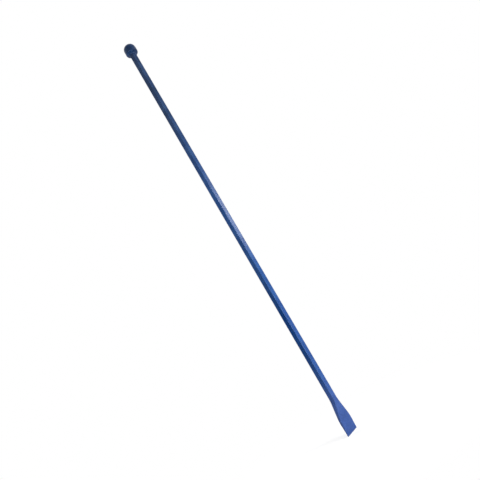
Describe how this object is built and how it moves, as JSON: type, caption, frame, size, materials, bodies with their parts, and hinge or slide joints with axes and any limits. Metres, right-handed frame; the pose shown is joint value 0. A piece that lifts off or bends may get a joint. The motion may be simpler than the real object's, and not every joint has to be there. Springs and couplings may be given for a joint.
{
  "type": "digging bar",
  "caption": "Long hexagonal steel digging bar with a round domed tamping knob on top and a flared, wedge-shaped chisel with a sloped cutting edge below, painted blue.",
  "frame": {"origin": "on the bar's axis, level with the lowest corner of the chisel's cutting edge", "axes": "+Z along the bar from the chisel to the knob, +X along the chisel's width towards the raised corner of its edge, +Y square to the chisel's broad faces"},
  "size_m": [0.054, 0.054, 1.8],
  "materials": {
    "blue_enamel": "semi-gloss royal blue enamel brushed and dipped over solid steel"
  },
  "bodies": {
    "root": {"hex_shaft": "blue_enamel", "tamping_knob": "blue_enamel", "knob_weld": "blue_enamel", "chisel_blade": "blue_enamel", "blade_weld": "blue_enamel"}
  },
  "joints": []
}
